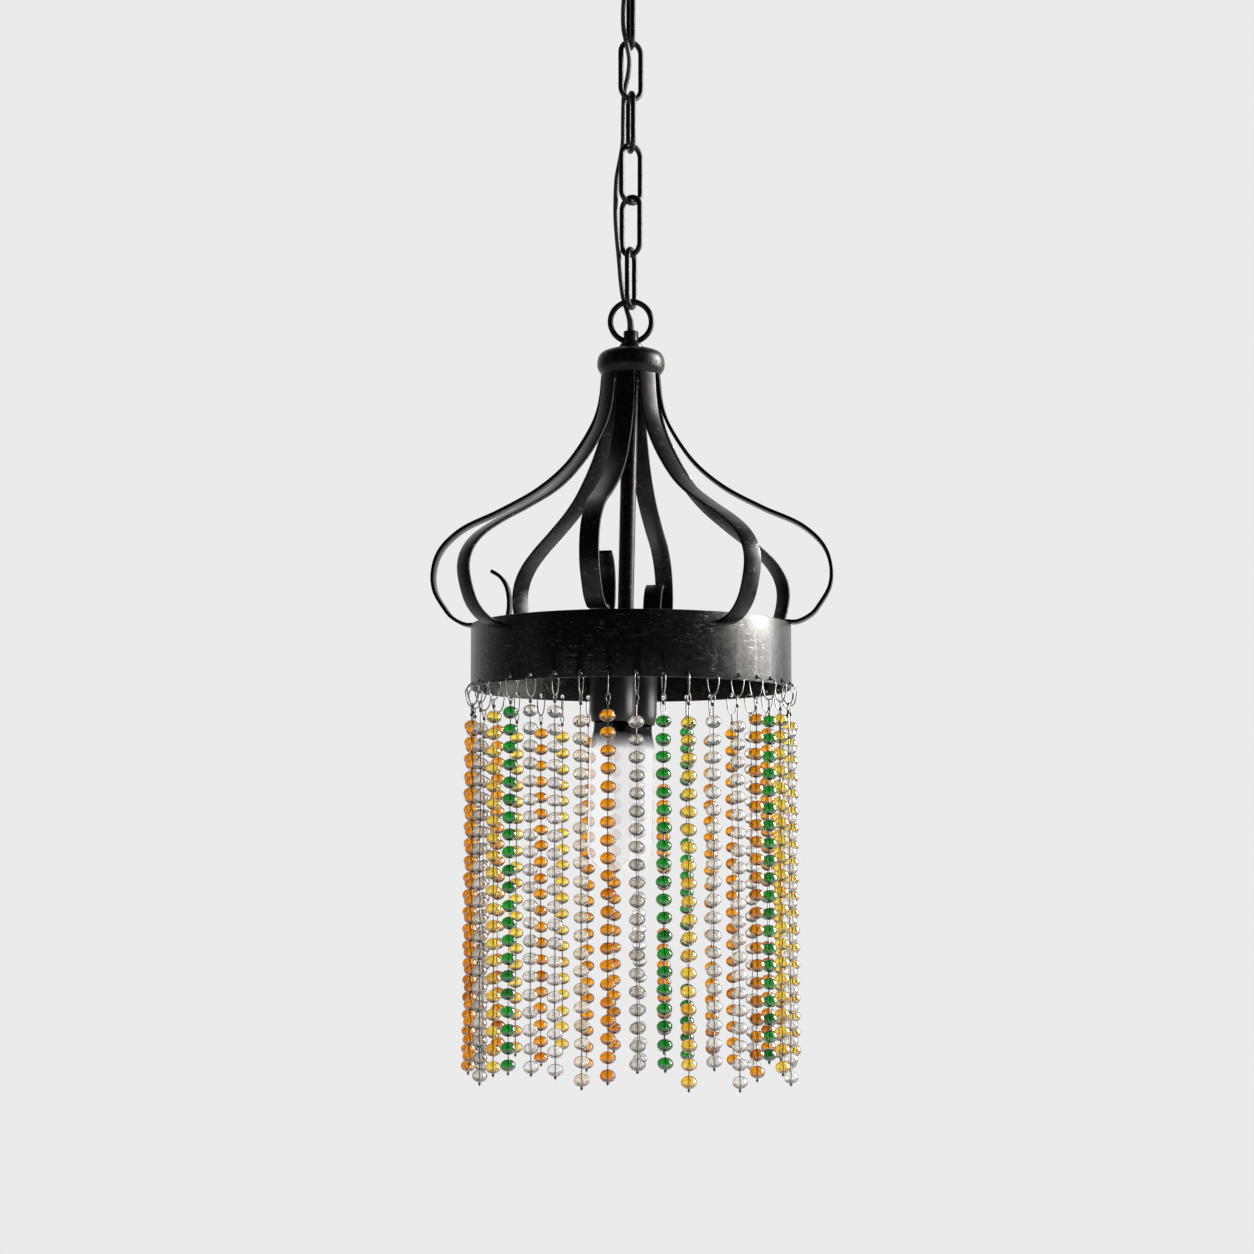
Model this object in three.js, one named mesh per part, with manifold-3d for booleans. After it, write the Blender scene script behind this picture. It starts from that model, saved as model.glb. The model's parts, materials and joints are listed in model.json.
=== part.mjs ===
// Beaded chandelier: an onion-shaped cage of iron strips carries a drum band, and strings of
// glass beads hang from holes along the band's lower edge. A link chain holds it under a
// ceiling canopy, and the supply cord runs down the chain and the stem to two lampholders.
//
// Millimetres, +Z up. The origin is where the canopy's axis meets the ceiling, -Y is the front.
// An azimuth is in degrees from the front, growing towards +X.

import * as THREE from 'three';
import { mergeVertices } from 'three/addons/utils/BufferGeometryUtils.js';
import Module from 'manifold-3d';

const wasm = await Module();
wasm.setup();

// Fits and cuts
const touchGap = 0.3; // left between two pieces that touch
const weldGap = 0.5; // left at a strip's welded end
const cutOverrun = 1; // how far a cutter reaches past what it cuts

// Ceiling canopy
const canopyDiameter = 127;
const canopyDepth = 22;
const canopyWall = 1.6;
const canopyRimFlat = 4; // flat edge that meets the ceiling
// Shares of the shoulder's radius or of the depth
const canopyFloorShare = 0.5;
const canopyShoulderShare = 0.86;
const canopyEdgeShare = 0.4;
const canopySides = 24;

// Screw loops, one under the canopy and one on the cap
const loopWire = 4;
const loopWidth = 32.6;
const neckDiameter = 10.6;
const neckFootDiameter = 14.8;
const neckFootHeight = 3;
const neckHeight = 10;
const neckSeat = 0.6; // from the ring's underside to the neck's seat
const shankLength = 7; // threaded end that goes through the canopy or into the cap
const loopTurns = 16;
const neckSides = 12;
const boreSides = 8;

// Chain
const linkWire = 3.8;
const linkLength = 45.1;
const linkWidth = 20;
const linkTurns = [100, 30, 102, 36, -40, 72]; // degrees about Z, from the top link down
const linkBends = 12;
const wireSides = 6;
const ceilingLoopTurn = 20;
const cageLoopTurn = 0;

// Supply cord, woven down the chain and into the stem
const cordDiameter = 3.4;
const cordPlay = 0.7; // round the cord where it passes through a neck
const cordSteps = 58;
const cordArcs = 4;
const cordRoute = [
  [0, 0, -6.1], [0, 0, -18.2], [0, 0, -32.9], [-1, -1.5, -38.9], [-3.4, -5.4, -46.5],
  [-4.6, -6.8, -54.6], [-5.4, -6.2, -69.2], [-5, -6.6, -79.7], [-3.2, -7.2, -89],
  [-1, -2.2, -100.5], [-2.2, 1.6, -110.9], [-4.6, 2.2, -121.3], [-5.2, 2, -133.8],
  [-5.4, 1.6, -146.3], [-5.6, 1.9, -158.8], [-7.4, 1.2, -170.3], [-9.8, -0.4, -183.9],
  [-10.6, -0.4, -198.4], [-10.6, 0.2, -213], [-9.6, 1, -227.6], [-8.2, 2.4, -242.2],
  [-7, 3.6, -256.8], [-5.4, 4.5, -268.3], [-2.6, 3.4, -278.8], [-0.4, 0.6, -286.8],
  [0, 0, -294.8], [0, 0, -305.8], [-0.6, 0, -339.8], [-2, 0, -411], [-4.2, 0, -516.3],
];

// Cap
const capHeight = 20.9;
const capTopDiameter = 15.4;
const capDiameter = 47;
const capFootDiameter = 40.4;
const capOutlineShares = [[0, 1], [0.28, 0.97], [0.62, 0.83], [0.88, 0.66], [1, 0.43], [0.97, 0.25]];
const capSides = 24;

// Cage strips, from the cap to the band
const stripWidth = 13;
const stripThickness = 2.4;
// Set by hand, so not quite even; the first, third, fifth and seventh cross the rim
const stripAzimuths = [-11.3, 34.8, 84.4, 127, 169.6, 216, 264.4, 306.5];
const stripTopDiameter = 40.4; // across the outer faces of two opposite strips
const bellyDiameter = 278;
const cageHeight = 175; // from the cap's underside to the band's rim
// Shares of the way from the strip's top to the belly, and from the cap down to the rim
const crossingOutlineShares = [
  [0, 0], [0.015, 0.098], [0.048, 0.179], [0.152, 0.302], [0.244, 0.377], [0.39, 0.457],
  [0.606, 0.537], [0.838, 0.612], [0.958, 0.692], [0.998, 0.772], [0.99, 0.852], [0.924, 0.93],
];
const weldedOutlineShares = [
  [0, 0], [0.015, 0.1], [0.046, 0.187], [0.143, 0.308], [0.299, 0.434], [0.417, 0.5],
  [0.593, 0.571], [0.785, 0.642], [0.912, 0.703], [0.979, 0.763], [0.998, 0.829], [0.951, 0.944],
  [0.896, 0.993],
];
const weldedEndShares = [[0.833, 1.022], [0.77, 1.035], [0.699, 1.039]];
// Shares of the band's radius and of the cage's height above the rim, for an end that crosses
// the rim: every such strip starts alike, three curl up in sight and one stays low
const crossingShares = [[1.135, 0.031], [1.07, 0.006], [1.02, -0.003], [0.985, 0]];
const curlShares = [
  [0.945, -0.009], [0.885, -0.026], [0.825, -0.018], [0.785, 0.013], [0.768, 0.06],
  [0.77, 0.113], [0.79, 0.158], [0.83, 0.192], [0.88, 0.211],
];
const lowCurlShares = [[0.93, -0.006], [0.86, -0.035], [0.79, -0.04], [0.75, -0.005], [0.745, 0.022]];
const lowCurlStrip = 3;
const stripSeatRise = 0.8; // the curled strips clear the rim by this at their lowest
const weldedSteps = 22;
const curledSteps = 42;

// Band and its holes
const bandDiameter = 220;
const bandWall = 1.6;
const bandHeight = 44.1;
const bandSides = 48;
const bandHoleDiameter = 3.4;
const bandHoleHeight = 2.8; // hole's centre above the lower edge
const bandHoleSides = 6;

// Bead strands; their holes are not quite even, as if drilled by hand
const strandAzimuths = [
  1.8, 11, 20, 29.2, 39.6, 48.9, 57.1, 66.5, 77.5, 87.7, 97.9, 108.1,
  118.3, 128.5, 138.4, 148.4, 158.3, 167.5, 177, 186.2, 196.4, 206.9, 216.2, 228,
  239.4, 250, 260.5, 271, 281.4, 292.6, 303.6, 313.4, 322.9, 333, 342.6, 352.1,
];
const hookWidth = 15.2; // outside of the wire ring that passes through the band
const hookWire = 1.2;
const hookTurns = 8;
const hookSides = 4;
const strandWire = 1;
const beadDiameter = 10.7;
const beadHeight = 8.4;
const beadPitch = 11.5;
const beadSides = 4;
const tailLength = 2.6; // wire below the last bead
// Each strand's glass, its number of beads and the wire above the first, in bead pitches
const strandPlan = [
  ['smoke', 20, 1.16], ['green', 20, 1.1], ['amber', 21, 1.19], ['clear', 20, 1.07],
  ['clear', 21, 1.3], ['orange', 21, 0.8], ['green', 20, 0.85], ['amber', 21, 0.64],
  ['clear', 21, 1.3], ['amber', 20, 0.86], ['clear', 21, 0.67], ['amber', 20, 1.15],
  ['orange', 20, 0.91], ['clear', 21, 1.05], ['orange', 21, 0.81], ['orange', 20, 1.19],
  ['green', 21, 0.57], ['orange', 20, 1.1], ['clear', 21, 0.86], ['orange', 20, 1],
  ['orange', 21, 1.15], ['amber', 20, 0.91], ['orange', 21, 0.72], ['amber', 20, 1.05],
  ['orange', 20, 0.67], ['smoke', 21, 0.96], ['clear', 20, 1.24], ['orange', 21, 0.76],
  ['orange', 20, 1.13], ['smoke', 21, 1.16], ['amber', 21, 0.57], ['green', 21, 0.4],
  ['clear', 21, 0.4], ['clear', 21, 0.51], ['champagne', 21, 1.06], ['orange', 21, 0.77],
];

// Stem, lampholders and lamps; the stem hangs a little out of true
const stemDiameter = 11;
const stemBore = 6.6;
const stemPlay = 0.6; // round the leaning stem in the cap
const stemLean = 1.2; // degrees, its foot towards -X
const stemSides = 16;
const stemDrop = 208; // from the cap's top to the lampholders' crossbar
const crossbarLength = 46;
const crossbarWidth = 16;
const crossbarHeight = 6;
const holderSpacing = 33;
const holderAzimuth = -27;
const holderDiameter = 31;
const holderHeight = 42;
const holderLipHeight = 6.8;
const holderLipDiameter = 28.2;
const holderWall = 1.4;
const holderBore = 26.2;
const holderBoreDepth = 32;
const holderSides = 16;
const lampNeckDiameter = 25;
const lampDiameter = 30;
const lampReach = 100.8; // from the holder's lip to the lamp's end
const lampNeckHeight = 5;
const lampShoulderHeight = 14;
const lampBaseHeight = 24;
const lampSides = 12;
const lampEndSteps = 3;

const finishes = {
  iron: { color: 0x1d1b1a, roughness: 0.45, metalness: 0.75 },
  cord: { color: 0x0c0c0c, roughness: 0.6, metalness: 0 },
  holder: { color: 0x161515, roughness: 0.4, metalness: 0.2 },
  lamp: { color: 0xe9edee, roughness: 0.06, metalness: 0 },
  smoke: { color: 0x8d8a86, roughness: 0.08, metalness: 0 },
  green: { color: 0x0f6b2d, roughness: 0.08, metalness: 0 },
  amber: { color: 0xe0a92a, roughness: 0.08, metalness: 0 },
  clear: { color: 0xd3d2cf, roughness: 0.08, metalness: 0 },
  champagne: { color: 0xd8c6ad, roughness: 0.08, metalness: 0 },
  orange: { color: 0xc9681a, roughness: 0.08, metalness: 0 },
};

const model = new THREE.Group();

function radians(degrees) {
  return THREE.MathUtils.degToRad(degrees);
}

// Closed triangles with shared corners, and none without area
function welded(geometry) {
  const bare = geometry.clone();
  bare.deleteAttribute('normal');
  bare.deleteAttribute('uv');
  const merged = mergeVertices(bare);
  const corners = merged.index.array;
  const kept = [];
  for (let i = 0; i < corners.length; i += 3) {
    const [a, b, c] = [corners[i], corners[i + 1], corners[i + 2]];
    if (a !== b && b !== c && c !== a) kept.push(a, b, c);
  }
  merged.setIndex(kept);
  return merged;
}

function solidOf(geometry) {
  const mesh = welded(geometry);
  return new wasm.Manifold(new wasm.Mesh({
    numProp: 3,
    vertProperties: Float32Array.from(mesh.attributes.position.array),
    triVerts: Uint32Array.from(mesh.index.array),
  }));
}

function geometryOf(solid) {
  const mesh = solid.getMesh();
  const geometry = new THREE.BufferGeometry();
  geometry.setAttribute('position', new THREE.BufferAttribute(mesh.vertProperties, 3));
  geometry.setIndex(new THREE.BufferAttribute(mesh.triVerts, 1));
  geometry.computeVertexNormals();
  return geometry;
}

// A turned solid about Z; the outline's [radius, height] pairs climb along its outside
function turned(outline, sides) {
  const points = outline.map(([radius, height]) => new THREE.Vector2(radius, height));
  return new THREE.LatheGeometry(points, sides).rotateX(Math.PI / 2);
}

// A round rod along Z between two heights
function rod(diameter, bottom, top, sides) {
  return turned([[0, bottom], [diameter / 2, bottom], [diameter / 2, top], [0, top]], sides);
}

// A closed ring of wire standing in the XZ plane, with flats at its top and bottom; its upper
// and lower halves are drawn apart by stretch
function wireRing(radius, wire, turns, wireSides, stretch) {
  const cornerRadius = radius / Math.cos(Math.PI / turns);
  const ring = new THREE.TorusGeometry(cornerRadius, wire / 2, wireSides, turns);
  ring.rotateZ(Math.PI / turns);
  const places = ring.attributes.position;
  for (let i = 0; i < places.count; i += 1) {
    places.setY(i, places.getY(i) + Math.sign(places.getY(i)) * stretch / 2);
  }
  return ring.rotateX(Math.PI / 2);
}

function addPiece(parent, name, geometry, finish) {
  const mesh = new THREE.Mesh(geometry, new THREE.MeshStandardMaterial(finishes[finish]));
  mesh.name = name;
  parent.add(mesh);
  return mesh;
}

// Heights that follow from the sizes, from the ceiling down
const neckReach = loopWidth / 2 + neckSeat;
const loopRadius = (loopWidth - loopWire) / 2;
const loopToLink = (loopWire + linkWire) / 2 + touchGap;
const ceilingLoopZ = -(canopyDepth + touchGap + neckReach);
const linkReach = (linkLength - linkWire) / 2;
const linkPitch = linkLength - 2 * linkWire - touchGap;
const firstLinkZ = ceilingLoopZ - loopRadius + loopToLink - linkReach;
const lastLinkZ = firstLinkZ - (linkTurns.length - 1) * linkPitch;
const cageLoopZ = lastLinkZ - linkReach + loopToLink - loopRadius;
const capTopZ = cageLoopZ - neckReach - touchGap;
const capFootZ = capTopZ - capHeight;
const rimZ = capFootZ - cageHeight;
const bandFootZ = rimZ - bandHeight;
const bandRadius = bandDiameter / 2;
const hookZ = bandFootZ + bandHoleHeight;
const boreDiameter = cordDiameter + 2 * cordPlay;
const shankBore = stemDiameter + 2 * touchGap;

// Screw loop: a ring cast on a bored neck, with its ring's centre at the origin
function screwLoop() {
  const foot = -neckReach;
  const neck = turned([
    [0, foot - shankLength], [stemDiameter / 2, foot - shankLength], [stemDiameter / 2, foot],
    [neckFootDiameter / 2, foot], [neckDiameter / 2, foot + neckFootHeight],
    [neckDiameter / 2, foot + neckHeight], [0, foot + neckHeight],
  ], neckSides);
  const ring = wireRing(loopRadius, loopWire, loopTurns, wireSides, 0);
  const boreFoot = foot - shankLength - cutOverrun;
  const bore = rod(boreDiameter, boreFoot, foot + neckHeight + cutOverrun, boreSides);
  return geometryOf(solidOf(neck).add(solidOf(ring)).subtract(solidOf(bore)));
}

// Canopy: a shallow dish, open to the ceiling, with a hole for the loop's shank
function canopy() {
  const radius = canopyDiameter / 2;
  const hole = shankBore / 2;
  const shoulder = radius - canopyDepth / 2;
  const floor = shoulder * canopyFloorShare;
  const shoulderZ = -canopyDepth * canopyShoulderShare;
  const edge = radius - canopyRimFlat;
  const edgeZ = -canopyDepth * canopyEdgeShare;
  return turned([
    [hole, -canopyDepth], [floor, -canopyDepth], [shoulder, shoulderZ], [edge, edgeZ],
    [radius, -canopyWall], [radius, 0], [edge, 0], [edge, edgeZ + canopyWall],
    [shoulder, shoulderZ + canopyWall], [floor, -canopyDepth + canopyWall],
    [hole, -canopyDepth + canopyWall], [hole, -canopyDepth],
  ], canopySides);
}

function chainLink() {
  const bend = (linkWidth - linkWire) / 2;
  return wireRing(bend, linkWire, linkBends, wireSides, 2 * (linkReach - bend));
}

function cord() {
  const route = new THREE.CatmullRomCurve3(cordRoute.map((place) => new THREE.Vector3(...place)));
  const section = new THREE.Shape();
  section.absarc(0, 0, cordDiameter / 2, 0, 2 * Math.PI);
  const settings = { steps: cordSteps, curveSegments: cordArcs, extrudePath: route };
  return new THREE.ExtrudeGeometry(section, settings);
}

// Cap: a round boss, bored for the loop's shank and the stem
function cap() {
  const climb = capOutlineShares.map(([wide, high]) => [
    capTopDiameter / 2 + wide * (capDiameter - capTopDiameter) / 2,
    capFootZ + high * capHeight,
  ]);
  const bore = stemDiameter / 2 + stemPlay;
  return turned([
    [bore, capFootZ], [capFootDiameter / 2, capFootZ], ...climb.reverse(), [bore, capTopZ],
    [bore, capFootZ],
  ], capSides);
}

// Places on a strip's path in the XZ plane, X being the distance from the cage's axis
function stripPlaces(shares, start) {
  const top = (stripTopDiameter - stripThickness) / 2;
  const belly = (bellyDiameter - stripThickness) / 2;
  return shares.map(([out, down]) => new THREE.Vector3(
    top + out * (belly - top), 0, start - down * (start - rimZ),
  ));
}

function stripPath(outlineShares, endPlaces) {
  const places = stripPlaces(outlineShares, capFootZ - weldGap);
  return new THREE.CatmullRomCurve3([...places, ...endPlaces]);
}

function strip(path, steps) {
  const section = new THREE.Shape();
  section.moveTo(-stripWidth / 2, -stripThickness / 2);
  section.lineTo(stripWidth / 2, -stripThickness / 2);
  section.lineTo(stripWidth / 2, stripThickness / 2);
  section.lineTo(-stripWidth / 2, stripThickness / 2);
  section.closePath();
  return new THREE.ExtrudeGeometry(section, { steps, extrudePath: path });
}

// A strip whose end is welded to the band's outside, below the rim
function weldedStrip() {
  const ends = stripPlaces(weldedEndShares, capFootZ);
  const drum = rod(bandDiameter + 2 * weldGap, bandFootZ, rimZ + weldGap, bandSides);
  const bar = strip(stripPath(weldedOutlineShares, ends), weldedSteps);
  return geometryOf(solidOf(bar).subtract(solidOf(drum)));
}

// A strip that rests across the rim and curls inside the band
function curledStrip(tipShares) {
  const seat = rimZ + stripThickness / 2 + stripSeatRise;
  const ends = [...crossingShares, ...tipShares].map(([out, up]) => new THREE.Vector3(
    out * bandRadius, 0, seat + up * cageHeight,
  ));
  return strip(stripPath(crossingOutlineShares, ends), curledSteps);
}

function band() {
  const inside = bandRadius - bandWall;
  let drum = solidOf(turned([
    [inside, bandFootZ], [bandRadius, bandFootZ], [bandRadius, rimZ], [inside, rimZ],
    [inside, bandFootZ],
  ], bandSides));
  for (const azimuth of strandAzimuths) {
    const hole = new THREE.CylinderGeometry(
      bandHoleDiameter / 2, bandHoleDiameter / 2, bandWall + 2 * cutOverrun, bandHoleSides,
    );
    hole.translate(0, bandWall / 2 - bandRadius, hookZ);
    hole.rotateZ(radians(azimuth));
    drum = drum.subtract(solidOf(hole));
  }
  return geometryOf(drum);
}

// A strand hangs from its hook's centreline at the origin: hook, wire and beads in one body
function strand(beads, leadShare) {
  const hookRadius = (hookWidth - hookWire) / 2;
  const hook = wireRing(hookRadius, hookWire, hookTurns, hookSides, 0);
  hook.translate(0, 0, -hookRadius).rotateZ(Math.PI / 2);
  const hookFoot = -2 * hookRadius;
  const halfGap = (beadPitch - beadHeight) / 2;
  const firstNeck = hookFoot - hookWire / 2 - leadShare * beadPitch + halfGap;
  const tail = firstNeck - beads * beadPitch + halfGap - tailLength;
  const outline = [[0, tail], [strandWire / 2, tail]];
  for (let i = beads; i > 0; i -= 1) {
    const neck = firstNeck - i * beadPitch;
    outline.push([strandWire / 2, neck], [beadDiameter / 2, neck + beadPitch / 2]);
  }
  outline.push([strandWire / 2, firstNeck], [strandWire / 2, hookFoot], [0, hookFoot]);
  return geometryOf(solidOf(hook).add(solidOf(turned(outline, beadSides))));
}

// Stem: a tube from inside the cap to the crossbar, with its top at the origin
function stem(length) {
  const outer = rod(stemDiameter, -length, 0, stemSides);
  const bore = rod(stemBore, -length - cutOverrun, cutOverrun, boreSides);
  return geometryOf(solidOf(outer).subtract(solidOf(bore)));
}

function holderPlace(side) {
  const turn = radians(holderAzimuth);
  return [side * Math.sin(turn) * holderSpacing / 2, -side * Math.cos(turn) * holderSpacing / 2];
}

// Lampholders: two cups cast under a crossbar, with the crossbar's top at the origin
function lampholders() {
  const bar = new THREE.BoxGeometry(crossbarWidth, crossbarLength, crossbarHeight);
  bar.translate(0, 0, -crossbarHeight / 2).rotateZ(radians(holderAzimuth));
  let body = solidOf(bar);
  const lipZ = -crossbarHeight - holderHeight - holderLipHeight;
  const holderRadius = holderDiameter / 2;
  for (const side of [1, -1]) {
    const [x, y] = holderPlace(side);
    const cup = turned([
      [0, lipZ], [holderLipDiameter / 2, lipZ], [holderRadius, lipZ + holderLipHeight],
      [holderRadius, -crossbarHeight - holderWall],
      [holderRadius - holderWall, -crossbarHeight / 2], [0, -crossbarHeight / 2],
    ], holderSides);
    const bore = rod(holderBore, lipZ - cutOverrun, lipZ + holderBoreDepth, holderSides);
    body = body.add(solidOf(cup.translate(x, y, 0))).subtract(solidOf(bore.translate(x, y, 0)));
  }
  const stemHole = rod(shankBore, -crossbarHeight - cutOverrun, cutOverrun, stemSides);
  return geometryOf(body.subtract(solidOf(stemHole)));
}

// Lamp: screw base, neck and a straight glass tube with a round end, seen from its neck's top
function lamp() {
  const round = lampDiameter / 2;
  const outline = [[0, -lampReach]];
  for (let i = 1; i <= lampEndSteps; i += 1) {
    const turn = i * Math.PI / 2 / lampEndSteps;
    outline.push([round * Math.sin(turn), -lampReach + round * (1 - Math.cos(turn))]);
  }
  outline.push(
    [round, -lampNeckHeight - lampShoulderHeight], [lampNeckDiameter / 2, -lampNeckHeight],
    [lampNeckDiameter / 2, lampBaseHeight], [0, lampBaseHeight],
  );
  return turned(outline, lampSides);
}

// Ceiling canopy, its loop and the chain
addPiece(model, 'canopy', canopy(), 'iron');
const ceilingLoop = addPiece(model, 'ceiling_loop', screwLoop(), 'iron');
ceilingLoop.position.z = ceilingLoopZ;
ceilingLoop.rotation.set(Math.PI, 0, radians(ceilingLoopTurn));

linkTurns.forEach((turn, i) => {
  const link = addPiece(model, `chain_link_${i + 1}`, chainLink(), 'iron');
  link.position.z = firstLinkZ - i * linkPitch;
  link.rotation.z = radians(turn);
});

addPiece(model, 'supply_cord', cord(), 'cord');

// Cage: loop, cap, strips and band
const cageLoop = addPiece(model, 'hanging_loop', screwLoop(), 'iron');
cageLoop.position.z = cageLoopZ;
cageLoop.rotation.z = radians(cageLoopTurn);
addPiece(model, 'cap', cap(), 'iron');

stripAzimuths.forEach((azimuth, i) => {
  const number = i + 1;
  const tip = number === lowCurlStrip ? lowCurlShares : curlShares;
  const shape = i % 2 === 0 ? curledStrip(tip) : weldedStrip();
  const cageStrip = addPiece(model, `cage_strip_${number}`, shape, 'iron');
  cageStrip.rotation.z = radians(azimuth - 90);
});

addPiece(model, 'band', band(), 'iron');

// Bead strands, hung round the band
strandPlan.forEach(([glass, beads, leadShare], i) => {
  const number = String(i + 1).padStart(2, '0');
  const hung = new THREE.Group();
  hung.rotation.z = radians(strandAzimuths[i]);
  const piece = addPiece(hung, `bead_strand_${number}`, strand(beads, leadShare), glass);
  piece.position.set(0, bandWall / 2 - bandRadius, hookZ);
  model.add(hung);
});

// Stem, lampholders and lamps, all leaning together from the cap
const lampGroup = new THREE.Group();
const stemTop = capTopZ - shankLength - touchGap;
lampGroup.position.z = stemTop;
lampGroup.rotation.y = radians(stemLean);
const crossbarZ = -(stemDrop - shankLength);
addPiece(lampGroup, 'stem', stem(-crossbarZ + crossbarHeight), 'iron');
addPiece(lampGroup, 'lampholders', lampholders(), 'holder').position.z = crossbarZ;
['front', 'rear'].forEach((name, i) => {
  const [x, y] = holderPlace(1 - 2 * i);
  const lipZ = crossbarZ - crossbarHeight - holderHeight - holderLipHeight;
  addPiece(lampGroup, `lamp_${name}`, lamp(), 'lamp').position.set(x, y, lipZ);
});
model.add(lampGroup);

export default model;
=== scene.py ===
"""Looks of the beaded chandelier: worn black iron, glass beads on wire, and clear lamps.

Metres, in the CAD frame: +Z up, the origin where the canopy's axis meets the ceiling, and -Y
the front. An azimuth is in degrees from the front, growing towards +X.
"""
import json
import math
import random

import bmesh
import bpy
from mathutils import Matrix, Vector
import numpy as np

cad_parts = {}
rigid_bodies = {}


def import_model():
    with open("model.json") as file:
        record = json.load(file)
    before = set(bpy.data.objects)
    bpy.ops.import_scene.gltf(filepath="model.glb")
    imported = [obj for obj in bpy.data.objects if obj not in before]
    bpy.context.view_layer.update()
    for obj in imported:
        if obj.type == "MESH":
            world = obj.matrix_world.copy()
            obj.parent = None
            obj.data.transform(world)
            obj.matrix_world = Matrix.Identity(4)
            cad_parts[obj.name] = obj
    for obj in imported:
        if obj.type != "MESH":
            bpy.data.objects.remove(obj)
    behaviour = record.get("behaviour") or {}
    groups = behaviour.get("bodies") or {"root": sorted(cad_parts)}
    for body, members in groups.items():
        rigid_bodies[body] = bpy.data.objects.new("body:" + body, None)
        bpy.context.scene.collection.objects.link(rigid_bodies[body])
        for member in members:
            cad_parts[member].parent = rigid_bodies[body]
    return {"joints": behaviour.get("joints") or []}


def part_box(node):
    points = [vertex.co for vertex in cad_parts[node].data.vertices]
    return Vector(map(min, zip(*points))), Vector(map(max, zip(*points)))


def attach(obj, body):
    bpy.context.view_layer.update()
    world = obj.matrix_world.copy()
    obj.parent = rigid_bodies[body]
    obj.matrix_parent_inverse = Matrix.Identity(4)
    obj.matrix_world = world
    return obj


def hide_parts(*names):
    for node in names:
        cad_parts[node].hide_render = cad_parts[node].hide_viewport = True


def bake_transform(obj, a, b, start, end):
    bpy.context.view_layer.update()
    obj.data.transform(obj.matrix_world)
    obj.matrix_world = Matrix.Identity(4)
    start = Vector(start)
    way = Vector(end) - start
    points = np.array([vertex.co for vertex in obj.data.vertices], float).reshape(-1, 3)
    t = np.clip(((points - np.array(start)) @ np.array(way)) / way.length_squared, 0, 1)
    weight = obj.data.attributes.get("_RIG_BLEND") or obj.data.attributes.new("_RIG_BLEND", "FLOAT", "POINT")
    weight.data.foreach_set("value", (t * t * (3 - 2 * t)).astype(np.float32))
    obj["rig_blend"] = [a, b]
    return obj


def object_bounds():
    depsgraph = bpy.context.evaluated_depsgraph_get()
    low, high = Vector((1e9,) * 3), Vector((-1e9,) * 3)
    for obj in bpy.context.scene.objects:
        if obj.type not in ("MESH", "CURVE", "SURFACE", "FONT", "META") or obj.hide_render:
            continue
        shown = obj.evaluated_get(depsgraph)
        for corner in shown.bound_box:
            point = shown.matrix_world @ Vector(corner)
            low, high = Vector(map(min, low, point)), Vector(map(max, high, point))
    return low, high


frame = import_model()
cad_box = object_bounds()

X_AXIS = Vector((1, 0, 0))
Y_AXIS = Vector((0, 1, 0))

WELD_GAP = 0.0005
WIRE_SIDES = 16

# Canopy
CANOPY_WALL = 0.0016
CANOPY_RIM_FLAT = 0.004
CANOPY_HOLE_RADIUS = 0.0058

# Screw loops
LOOP_WIRE = 0.004
LOOP_WIDTH = 0.0326
NECK_RADIUS = 0.0052
NECK_FOOT_RADIUS = 0.0074
NECK_FOOT_HEIGHT = 0.003
NECK_HEIGHT = 0.01
NECK_SEAT = 0.0006
NECK_ROUNDING = 0.0005
CEILING_LOOP_TURN = 20
CAGE_LOOP_TURN = 0

# Chain, with each link's turn about Z from the top one down
LINK_WIRE = 0.0038
LINK_WIDTH = 0.02
LINK_TURNS = (100, 30, 102, 36, -40, 72)
WELD_LENGTH = 0.0028
WELD_CREST_LENGTH = 0.0012
WELD_SINK = 0.0003
WELD_RISE = 0.0001

# Supply cord, on the CAD cord's route
CORD_DIAMETER = 0.0034
CORD_STEPS = 180
CORD_SIDES = 12
CORD_LAP = 0.003
CORD_PLAY = 0.0001
CORD_BEND = 0.014
# The sleeve where the cord enters the lower loop
BOOT_HEIGHT = 0.0135
BOOT_SWELL = 0.6
BOOT_END_SHARE = 1.2
CORD_ROUTE = (
    (0, 0, -0.0061), (0, 0, -0.0182), (0, 0, -0.0329), (-0.001, -0.0015, -0.0389),
    (-0.0034, -0.0054, -0.0465), (-0.0046, -0.0068, -0.0546), (-0.0054, -0.0062, -0.0692),
    (-0.005, -0.0066, -0.0797), (-0.0032, -0.0072, -0.089), (-0.001, -0.0022, -0.1005),
    (-0.0022, 0.0016, -0.1109), (-0.0046, 0.0022, -0.1213), (-0.0052, 0.002, -0.1338),
    (-0.0054, 0.0016, -0.1463), (-0.0056, 0.0019, -0.1588), (-0.0074, 0.0012, -0.1703),
    (-0.0098, -0.0004, -0.1839), (-0.0106, -0.0004, -0.1984), (-0.0106, 0.0002, -0.213),
    (-0.0096, 0.001, -0.2276), (-0.0082, 0.0024, -0.2422), (-0.007, 0.0036, -0.2568),
    (-0.0054, 0.0045, -0.2683), (-0.0026, 0.0034, -0.2788), (-0.0004, 0.0006, -0.2868),
    (0, 0, -0.2948), (0, 0, -0.3058), (-0.0006, 0, -0.3398), (-0.002, 0, -0.411),
    (-0.0042, 0, -0.5163),
)

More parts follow.
